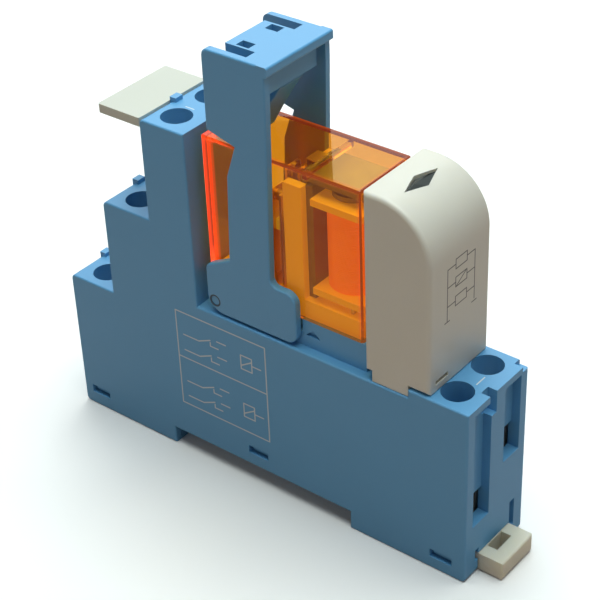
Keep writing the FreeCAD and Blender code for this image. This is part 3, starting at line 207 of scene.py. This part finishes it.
def use_group(tree, group, **inputs):
    """Place a shared effect with its own values."""
    node = tree.nodes.new("ShaderNodeGroup")
    node.node_tree = group
    for name, given in inputs.items():
        socket = node.inputs[name.replace("_", " ")]
        if isinstance(given, bpy.types.NodeSocket):
            tree.links.new(given, socket)
        else:
            socket.default_value = given
    return node.outputs


def bump(tree, shader, height, distance):
    """Drive the shader's normal from a height."""
    node = put(tree, "ShaderNodeBump", Height=height, Distance=distance, Strength=1.0)
    tree.links.new(node.outputs[0], shader.inputs["Normal"])


def printed(tree, where, strokes, level, drop=(1.0, 0.0, 1.0), half=0.11):
    """Mask of printed strokes on a flat face.

    strokes are pairs of points in socket millimetres, with half a width where it isn't the usual one.
    drop is 0 on the axis across the face. level is (axis, threshold in metres, 1 if the print lies
    above it or -1 if below).
    """
    blur = 0.06 * MM
    flat = vector_maths(tree, "MULTIPLY", where, drop)
    mask = 0.0
    for start, end, *width in strokes:
        ends = [tuple((place(point) * np.array(drop)).tolist()) for point in (start, end)]
        mask = use_group(tree, STROKE, Vector=flat, Start=ends[0], End=ends[1], Below=mask,
                         Half_Width=(width[0] if width else half) * MM, Edge=blur)["Mask"]
    axis, threshold, side = level
    parts = put(tree, "ShaderNodeSeparateXYZ", Vector=where).outputs
    inside = maths(tree, "GREATER_THAN" if side > 0 else "LESS_THAN", parts[axis], threshold)
    return maths(tree, "MULTIPLY", mask, inside)


def moulded(name, low, high, gloss=0.42, drift=0.08, tone=0.5, pebble=5000.0, depth=0.000006,
            painted_glow=None, subsurface=0.0, marks=None, ink=(0.55, 0.62, 0.66, 1.0), ring=None):
    """Opaque moulded plastic between two close colours, with an optional print, painted shade ring or painted
    inner glow.

    ring gives a centre and radius: a ring of painted shade, standing in for the shadow in the gap round a pin
    that lies across the piece.
    """
    material, tree, shader, where = start_material(name)
    grain = use_group(tree, MOULDED_GRAIN, Vector=where, Pebble_Size=pebble, Tone=tone, Gloss=gloss,
                      Gloss_Drift=drift)
    colour = mix_colours(tree, grain["Tone Mask"], low, high)
    if marks:
        for mark in marks:
            colour = mix_colours(tree, printed(tree, where, **mark), colour, ink)
    # painted shade: a dark ring in the base colour standing in for the shadow in the gap round the pin
    if ring:
        centre, radius = ring
        gap_half = 0.14 * MM
        gap_blur = 0.12 * MM
        painted_gap_shade = (0.012, 0.04, 0.08, 1)
        offset = vector_maths(tree, "SUBTRACT", where, centre)
        across = vector_maths(tree, "MULTIPLY", offset, (1.0, 0.0, 1.0))
        away = maths(tree, "SUBTRACT", vector_maths(tree, "LENGTH", across, out=1), radius)
        painted_shade_mask = ramp_down(tree, maths(tree, "ABSOLUTE", away), gap_half, gap_blur)
        colour = mix_colours(tree, painted_shade_mask, colour, painted_gap_shade)
    tree.links.new(colour, shader.inputs["Base Color"])
    tree.links.new(grain["Roughness"], shader.inputs["Roughness"])
    # painted glow: emission on a part that is no lamp, standing in for light coming through the amber cover
    if painted_glow:
        shader.inputs["Emission Color"].default_value = painted_glow
        shader.inputs["Emission Strength"].default_value = 1.0
    if subsurface:
        shader.inputs["Subsurface Weight"].default_value = subsurface
        shader.inputs["Subsurface Radius"].default_value = (0.002, 0.0016, 0.001)
        shader.inputs["Subsurface Scale"].default_value = 1.0
    bump(tree, shader, grain["Pebble"], depth)
    return material


def metal(name, low, high, gloss=0.28, spread=0.15, depth=0.000002):
    """Plated or rolled metal between two close colours."""
    material, tree, shader, where = start_material(name)
    grain = use_group(tree, METAL_GRAIN, Vector=where, Gloss=gloss, Spread=spread)
    tree.links.new(mix_colours(tree, grain["Tone Mask"], low, high), shader.inputs["Base Color"])
    tree.links.new(grain["Roughness"], shader.inputs["Roughness"])
    shader.inputs["Metallic"].default_value = 1.0
    bump(tree, shader, grain["Scratch"], depth)
    return material


def clear_amber():
    """Clear amber moulding: tinted glass that lets lamps through, deeper red along its corners.

    Its emission is painted light: a faint painted red glow all over and a stronger one on the rim,
    standing in for light piped through the walls. The rim is where the second smallest distance to the
    sides of the cover's box is under a wall's thickness. It is wider on the left end wall, where the
    painted glow is brighter, standing in for that wall piping the most light.
    """
    end_thick = 0.9 * MM
    end_widens = 1.4 * MM
    rim_wide = 0.7 * MM
    rim_blur = 0.3 * MM
    light_bend = 1.33
    rim_tone = (1.0, 0.36, 0.04, 1)
    pass_clear = (1.0, 0.93, 0.50, 1)
    pass_rim = (1.0, 0.60, 0.20, 1)
    # painted light: emission colours of a glow standing in for light piped through the amber walls, faint on
    # the clear part, stronger on the rim, strongest on the left end wall
    painted_glow_clear = (0.030, 0.004, 0.001, 1)
    painted_glow_rim = (0.12, 0.030, 0.006, 1)
    painted_glow_end = (0.42, 0.030, 0.010, 1)
    material, tree, shader, where = start_material("clear_amber")
    grain = use_group(tree, MOULDED_GRAIN, Vector=where, Pebble_Size=900.0, Tone=0.6, Gloss=0.03,
                      Gloss_Drift=0.03)
    low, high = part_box("relay_cover")
    centre, half = (low + high) / 2, (high - low) / 2
    offset = vector_maths(tree, "SUBTRACT", where, tuple(centre))
    depth = vector_maths(tree, "SUBTRACT", tuple(half), vector_maths(tree, "ABSOLUTE", offset))
    x, y, z = put(tree, "ShaderNodeSeparateXYZ", Vector=depth).outputs
    least = maths(tree, "MINIMUM", x, maths(tree, "MINIMUM", y, z))
    most = maths(tree, "MAXIMUM", x, maths(tree, "MAXIMUM", y, z))
    total = maths(tree, "ADD", x, maths(tree, "ADD", y, z))
    middle = maths(tree, "SUBTRACT", total, maths(tree, "ADD", least, most))
    across = put(tree, "ShaderNodeSeparateXYZ", Vector=where).outputs[0]
    end_wall = maths(tree, "LESS_THAN", across, float(low[0]) + end_thick)
    inward = maths(tree, "MULTIPLY_ADD", end_wall, -end_widens, middle)
    rim = ramp_down(tree, inward, rim_wide, rim_blur)
    clear = mix_colours(tree, grain["Tone Mask"], (1.0, 0.66, 0.10, 1), (1.0, 0.72, 0.13, 1))
    tint = mix_colours(tree, rim, clear, rim_tone)
    half_tint = mix_colours(tree, rim, pass_clear, pass_rim)
    tree.links.new(tint, shader.inputs["Base Color"])
    shader.inputs["Transmission Weight"].default_value = 1.0
    shader.inputs["IOR"].default_value = light_bend
    shader.inputs["Emission Strength"].default_value = 1.0
    # painted glow: the rim's painted glow, made brighter on the left end wall
    edge = mix_colours(tree, end_wall, painted_glow_rim, painted_glow_end)
    painted_glow = mix_colours(tree, rim, painted_glow_clear, edge)
    tree.links.new(painted_glow, shader.inputs["Emission Color"])
    tree.links.new(grain["Roughness"], shader.inputs["Roughness"])
    see_through = put(tree, "ShaderNodeBsdfTransparent")
    tree.links.new(half_tint, see_through.inputs["Color"])
    rays = tree.nodes.new("ShaderNodeLightPath").outputs
    lets_by = maths(tree, "MAXIMUM", rays["Is Shadow Ray"], rays["Is Diffuse Ray"])
    blend = put(tree, "ShaderNodeMixShader", Fac=lets_by)
    tree.links.new(shader.outputs[0], blend.inputs[1])
    tree.links.new(see_through.outputs[0], blend.inputs[2])
    tree.links.new(blend.outputs[0], tree.nodes["Material Output"].inputs["Surface"])
    return material


def wound_wire():
    """Enamelled wire: lacquered copper with a slow change of tone, its painted glow standing in for amber
    light.
    """
    material, tree, shader, where = start_material("wound_wire")
    drift = put(tree, "ShaderNodeTexNoise", Vector=where, Scale=350.0, Detail=2.0)
    colour = mix_colours(tree, drift.outputs[0], (0.78, 0.26, 0.08, 1), (0.90, 0.36, 0.12, 1))
    tree.links.new(colour, shader.inputs["Base Color"])
    tree.links.new(maths(tree, "MULTIPLY_ADD", drift.outputs[0], 0.2, 0.35), shader.inputs["Roughness"])
    # painted glow: emission standing in for amber-tinted light reaching the wire through the cover
    shader.inputs["Emission Color"].default_value = (0.30, 0.055, 0.008, 1)
    shader.inputs["Emission Strength"].default_value = 1.0
    return material


def level_lines():
    """Framed wiring diagram on the socket's front: two contacts and a coil in each half.

    Every offset is in millimetres from the frame's left edge or from the bottom of its half.
    """
    def line(x0, z0, x1, z1, half=0.11):
        return ((x0, 0, z0), (x1, 0, z1), half)

    left, right, low, middle, high = 23.3, 41.5, 9.8, 19.25, 28.1
    strokes = [line(left, low, right, low), line(left, high, right, high), line(left, low, left, high),
               line(right, low, right, high), line(left, middle, right, middle)]
    for base, lift in ((middle, 4.6), (middle, 1.6), (low, 4.8), (low, 1.8)):
        z = base + lift
        strokes += [line(left + 1.4, z, left + 4.6, z), line(left + 4.6, z, left + 7.0, z + 1.1),
                    line(left + 7.0, z, left + 7.0, z + 0.7), line(left + 7.0, z, left + 8.6, z),
                    line(left + 8.4, z + 1.4, left + 10.2, z + 1.4)]
    for base in (middle, low):
        x, z = left + 13.2, base + 2.9
        strokes += [line(x, z, x + 2.2, z), line(x, z + 2.6, x + 2.2, z + 2.6), line(x, z, x, z + 2.6),
                    line(x + 2.2, z, x + 2.2, z + 2.6), line(x, z + 0.6, x + 2.2, z + 2.0),
                    line(x + 2.2, z + 1.3, x + 4.0, z + 1.3)]
    return strokes


def module_lines():
    """Diagram on the module's end: three parts as plain boxes in parallel between two leads."""
    face = 71.7

    def line(y0, z0, y1, z1, half=0.09):
        return ((face, y0, z0), (face, y1, z1), half)

    strokes = []
    for z in (45.0, 48.2, 51.2):
        strokes += [line(4.6, z, 6.6, z), line(9.4, z, 11.4, z), line(6.6, z - 0.8, 9.4, z - 0.8),
                    line(6.6, z + 0.8, 9.4, z + 0.8), line(6.6, z - 0.8, 6.6, z + 0.8),
                    line(9.4, z - 0.8, 9.4, z + 0.8)]
    strokes += [line(4.6, 42.5, 4.6, 51.2), line(11.4, 45.0, 11.4, 51.2), line(11.4, 46.4, 11.4, 42.9),
                line(4.0, 42.5, 5.2, 42.5), line(10.8, 42.5, 12.0, 42.5),
                line(6.8, 47.5, 9.2, 48.9)]
    return strokes


BLUE = {"low": (0.100, 0.320, 0.580, 1), "high": (0.122, 0.370, 0.650, 1)}
FRONT_PRINT = {"strokes": level_lines(), "level": (1, -7.75 * MM, -1)}
TOP_PRINT = {"strokes": [((75.4, 6.9, 31.8), (75.4, 9.0, 31.8), 0.1),
                         ((22.6, 7.0, 60.85), (24.2, 7.0, 60.85), 0.1)],
             "level": (2, 31.5 * MM, 1), "drop": (1.0, 1.0, 0.0)}
MODULE_PRINT = {"strokes": module_lines(), "level": (0, float(place((71.6, 0, 0))[0]), 1),
                "drop": (0.0, 1.0, 1.0)}
CREAM = {"low": (0.61, 0.59, 0.52, 1), "high": (0.68, 0.66, 0.59, 1)}
GREY_INK = (0.09, 0.09, 0.095, 1)

FINISHES = {
    "socket_plastic": moulded("socket_plastic", **BLUE, gloss=0.45, marks=[FRONT_PRINT, TOP_PRINT]),
    # The clip's ring is painted shade: a dark ring standing in for the shadow in the gap round its pivot pin.
    "clip_plastic": moulded("clip_plastic", **BLUE, gloss=0.36,
                            ring=(tuple(place((31.75, 7.9, 32.9))), 0.92 * MM)),
    "amber_clear": clear_amber(),
    # The amber and yellow parts get a painted glow: emission standing in for light coming in through the
    # amber cover.
    "amber_plastic": moulded("amber_plastic", (0.76, 0.45, 0.10, 1), (0.84, 0.52, 0.14, 1), gloss=0.35,
                             painted_glow=(0.20, 0.095, 0.008, 1)),
    "yellow_plastic": moulded("yellow_plastic", (0.82, 0.66, 0.20, 1), (0.90, 0.74, 0.26, 1), gloss=0.35,
                              painted_glow=(0.2, 0.14, 0.01, 1)),
    "cream_plastic": moulded("cream_plastic", **CREAM, gloss=0.4, subsurface=0.15, marks=[MODULE_PRINT],
                             ink=GREY_INK),
    "tag_plastic": moulded("tag_plastic", (0.52, 0.53, 0.47, 1), (0.57, 0.58, 0.52, 1), gloss=0.5,
                           subsurface=0.1),
    "ivory_plastic": moulded("ivory_plastic", (0.66, 0.63, 0.51, 1), (0.75, 0.72, 0.60, 1), gloss=0.42,
                             subsurface=0.35),
    "contact_brass": metal("contact_brass", (0.72, 0.48, 0.20, 1), (0.82, 0.58, 0.28, 1)),
    "copper_wire": wound_wire(),
    "screw_steel": metal("screw_steel", (0.62, 0.62, 0.60, 1), (0.74, 0.74, 0.72, 1)),
    "cage_steel": metal("cage_steel", (0.50, 0.49, 0.44, 1), (0.62, 0.60, 0.54, 1), gloss=0.35),
    "soft_iron": metal("soft_iron", (0.20, 0.18, 0.165, 1), (0.29, 0.27, 0.25, 1), gloss=0.38),
    "tinned_pins": metal("tinned_pins", (0.66, 0.65, 0.62, 1), (0.78, 0.77, 0.74, 1), gloss=0.3),
    "board_green": moulded("board_green", (0.025, 0.14, 0.06, 1), (0.035, 0.18, 0.08, 1), gloss=0.3),
    "led_clear": moulded("led_clear", (0.30, 0.55, 0.25, 1), (0.38, 0.65, 0.32, 1), gloss=0.12),
    "lens_grey": moulded("lens_grey", (0.045, 0.05, 0.05, 1), (0.09, 0.10, 0.10, 1), gloss=0.12,
                         pebble=1500.0),
    "varistor_blue": moulded("varistor_blue", (0.03, 0.08, 0.30, 1), (0.05, 0.12, 0.38, 1), gloss=0.35),
    "resistor_buff": moulded("resistor_buff", (0.50, 0.40, 0.26, 1), (0.58, 0.48, 0.32, 1), gloss=0.3),
}


def give_finish(piece, slot):
    """Give a piece the finish of its slot."""
    piece.data.materials.clear()
    piece.data.materials.append(FINISHES[slot])


for subpart in frame["record"]["subparts"]:
    give_finish(frame["nodes"][subpart["node"]], subpart["material_slot"])


# ---------------------------------------------------------------- worked surfaces

def surface(name, points, wrap_rows=False, wrap_columns=False, smooth=True):
    """Mesh from a grid of points, rows by columns, closed round either way where asked."""
    rows, columns = points.shape[:2]
    index = np.arange(rows * columns).reshape(rows, columns)
    if wrap_rows:
        index = np.vstack((index, index[:1]))
    if wrap_columns:
        index = np.hstack((index, index[:, :1]))
    faces = np.stack((index[:-1, :-1], index[:-1, 1:], index[1:, 1:], index[1:, :-1]), axis=-1).reshape(-1, 4)
    mesh = bpy.data.meshes.new(name)
    mesh.from_pydata(points.reshape(-1, 3), [], faces.tolist())
    mesh.polygons.foreach_set("use_smooth", np.full(len(faces), smooth))
    mesh.update()
    piece = bpy.data.objects.new(name, mesh)
    scene.collection.objects.link(piece)
    return piece


def wind_coil():
    """Winding as a turned sleeve closed on itself: its outside is a row of half-round turns.

    Along the outside the radius is R - d/2 + (d/2)|sin(pi t)|, where t counts turns of wire of
    diameter d; the sleeve then comes back down a plain inner wall at the bobbin's tube.
    """
    low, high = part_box("coil_winding")
    centre = (low + high) / 2
    outer = (high.x - low.x) / 2
    tube_share = 0.70
    inner = tube_share * outer
    turns = 44
    steps = 7
    sides = 72
    wire = (high.z - low.z) / turns
    t = np.linspace(0, turns, turns * steps + 1)
    radius = outer - wire / 2 + wire / 2 * np.abs(np.sin(np.pi * t))
    height = low.z + wire * t
    radius = np.concatenate((radius, [inner, inner]))
    height = np.concatenate((height, [high.z, low.z]))
    turn = np.linspace(0, 2 * np.pi, sides, endpoint=False)
    points = np.stack((centre.x + radius[:, None] * np.cos(turn), centre.y + radius[:, None] * np.sin(turn),
                       np.repeat(height[:, None], len(turn), axis=1)), axis=-1)
    piece = surface("wound_coil", points, wrap_rows=True, wrap_columns=True)
    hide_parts("coil_winding")
    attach(piece, "relay")
    give_finish(piece, "copper_wire")


def facet_lens():
    """Indicator window as a flat-faced roof: four facets fall from a ridge across the middle.

    Its outline is a diamond with half diagonals a and b, whose corners are (a u, b v) for (u, v) of
    (1, 0), (0, 1), (-1, 0) and (0, -1). The ridge joins (0, b r) to (0, -b r) at the top, each facet
    runs from it straight to one side of the diamond, and a skirt goes down to the underside.
    """
    ridge_share = 0.45
    roof_fall = 0.0006
    low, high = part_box("status_lens")
    centre = (low + high) / 2
    half_x, half_y = (high.x - low.x) / 2, (high.y - low.y) / 2
    ring = np.array(((1, 0), (0, 1), (-1, 0), (0, -1)), float)
    ridge = ring * (0.0, ridge_share)
    levels = ((ridge, high.z), (ring, high.z - roof_fall), (ring, low.z), (ring * 0.0, low.z))
    points = np.stack([np.column_stack((centre.x + half_x * shape[:, 0], centre.y + half_y * shape[:, 1],
                                        np.full(len(ring), level))) for shape, level in levels])
    piece = surface("facet_lens", points, wrap_columns=True, smooth=False)
    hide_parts("status_lens")
    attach(piece, "module")
    give_finish(piece, "lens_grey")


def spring_finger():
    """Spring finger as a rounded leaf along a bowed line, carried by the clip.

    The line runs from the skirt to the toe with a bow of b times 4s(1 - s) square to it, s going from
    0 to 1, and the leaf thins evenly along it. The section is a superellipse of power 8, as wide as
    the finger one way and as thick as the leaf the other. Both ends close on the line.
    """
    root_in = 0.62 * MM
    toe_in = 0.80 * MM
    toe_up = 0.10 * MM
    bow = 0.15 * MM
    root_half = 0.52 * MM
    half_loss = 0.14 * MM
    power = 8
    steps = 25
    sides = 32
    low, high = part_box("retaining_finger")
    root = np.array((high.x - root_in, high.z))
    toe = np.array((low.x + toe_in, low.z + toe_up))
    run = toe - root
    square = np.array((-run[1], run[0])) / np.hypot(*run)
    s = np.concatenate(((0.0,), np.linspace(0, 1, steps), (1.0,)))
    line = root + run * s[:, None] - square * (bow * 4 * s * (1 - s))[:, None]
    filled = np.concatenate(((0.0,), np.ones(steps), (0.0,)))
    half_thick = filled * (root_half - half_loss * s)
    half_wide = filled * (high.y - low.y) / 2
    turn = np.linspace(0, 2 * np.pi, sides, endpoint=False)
    wide = np.sign(np.cos(turn)) * np.abs(np.cos(turn)) ** (2 / power)
    thick = np.sign(np.sin(turn)) * np.abs(np.sin(turn)) ** (2 / power)
    off = half_thick[:, None] * thick
    across = (low.y + high.y) / 2 + half_wide[:, None] * wide
    points = np.stack((line[:, :1] + off * square[0], across, line[:, 1:] + off * square[1]), axis=-1)
    points[..., 2] = np.clip(points[..., 2], low.z, high.z)
    piece = surface("spring_finger", points, wrap_columns=True)
    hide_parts("retaining_finger")
    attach(piece, "clip")
    give_finish(piece, "clip_plastic")
    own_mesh(piece)


wind_coil()
facet_lens()
spring_finger()


# ---------------------------------------------------------------- floor, light and camera

def make_floor():
    """Wide plain floor just under the feet, white to the camera and duller to bounced light.

    Its far part glows white to the camera, so it runs into the backdrop without an edge.
    """
    reach = 1.5
    under_feet = 0.00002
    glow_from = 0.27
    glow_blur = 0.26
    bounce = (0.50, 0.40, 0.35, 1)
    black = (0, 0, 0, 1)
    full_white = (1, 1, 1, 1)
    x = np.array((-reach, reach))
    grid = np.stack(np.meshgrid(x, x, indexing="xy"), axis=-1)
    points = np.concatenate((grid, np.full((2, 2, 1), -under_feet)), axis=-1)
    floor = surface("studio_floor", points, smooth=False)
    material, tree, shader, where = start_material("studio_floor")
    soft = put(tree, "ShaderNodeTexNoise", Vector=where, Scale=8.0, Detail=2.0)
    white = mix_colours(tree, soft.outputs[0], (0.95, 0.94, 0.94, 1), (0.96, 0.95, 0.95, 1))
    seen = put(tree, "ShaderNodeLightPath").outputs["Is Camera Ray"]
    tree.links.new(mix_colours(tree, seen, bounce, white), shader.inputs["Base Color"])
    away = vector_maths(tree, "LENGTH", where, out=1)
    near = ramp_down(tree, away, glow_from, glow_blur)
    far_seen = maths(tree, "MULTIPLY", maths(tree, "SUBTRACT", 1.0, near), seen)
    tree.links.new(mix_colours(tree, far_seen, black, full_white), shader.inputs["Emission Color"])
    shader.inputs["Emission Strength"].default_value = 1.0
    shader.inputs["Roughness"].default_value = 0.9
    shader.inputs["Specular IOR Level"].default_value = 0.1
    floor.data.materials.append(material)


def make_lamp(name, position, target, width, height, power, colour):
    """Rectangular soft lamp aimed at a point."""
    data = bpy.data.lights.new(name, "AREA")
    data.shape = "RECTANGLE"
    data.size = width
    data.size_y = height
    data.energy = power
    data.color = colour
    lamp = bpy.data.objects.new(name, data)
    lamp.location = position
    lamp.rotation_euler = (Vector(target) - Vector(position)).to_track_quat("-Z", "Y").to_euler()
    scene.collection.objects.link(lamp)


def make_studio():
    """White backdrop that lights little, a cool soft lamp overhead and weaker fills round the sides."""
    backdrop_light = 0.07
    seen_extra = 0.96
    world = bpy.data.worlds.new("studio")
    world.use_nodes = True
    sky = world.node_tree.nodes["Background"]
    sky.inputs["Color"].default_value = (1.0, 1.0, 1.0, 1)
    seen = put(world.node_tree, "ShaderNodeLightPath").outputs["Is Camera Ray"]
    strength = maths(world.node_tree, "MULTIPLY_ADD", seen, seen_extra, backdrop_light)
    world.node_tree.links.new(strength, sky.inputs["Strength"])
    scene.world = world
    middle = (0, 0, 0.03)
    make_lamp("overhead", (0.01, 0.05, 0.55), middle, width=0.5, height=0.5, power=3.8,
              colour=(0.90, 1.0, 0.98))
    make_lamp("back_fill", (-0.32, 0.39, 0.37), middle, width=0.6, height=0.4, power=1.3,
              colour=(0.97, 1.0, 0.99))
    make_lamp("front_fill", (-0.15, -0.6, 0.25), middle, width=0.5, height=0.4, power=0.34,
              colour=(1.0, 0.84, 0.66))
    make_lamp("right_fill", (0.6, -0.1, 0.25), middle, width=0.4, height=0.4, power=0.22,
              colour=(1.0, 0.97, 0.95))


def make_camera():
    """Camera in front and to the right, above the object, leaning a little to one side."""
    turn = math.radians(39.521)
    tilt = math.radians(34.196)
    lean = math.radians(-2.458)
    distance = 263.376 * MM
    target = Vector(place((42.436, 7.9, 32.988)))
    forward = Vector((-math.sin(turn) * math.cos(tilt), math.cos(turn) * math.cos(tilt), -math.sin(tilt)))
    level = Vector((math.cos(turn), math.sin(turn), 0))
    above = level.cross(forward)
    right = math.cos(lean) * level + math.sin(lean) * above
    up = -math.sin(lean) * level + math.cos(lean) * above
    data = bpy.data.cameras.new("camera")
    data.lens = 102.93
    data.sensor_width = 36.0
    data.clip_start = 0.01
    data.clip_end = 10.0
    camera = bpy.data.objects.new("camera", data)
    rotation = Matrix((right, up, -forward)).transposed()
    camera.matrix_world = Matrix.Translation(target - distance * forward) @ rotation.to_4x4()
    scene.collection.objects.link(camera)
    scene.camera = camera


make_floor()
make_studio()
make_camera()
scene.view_settings.view_transform = "Standard"
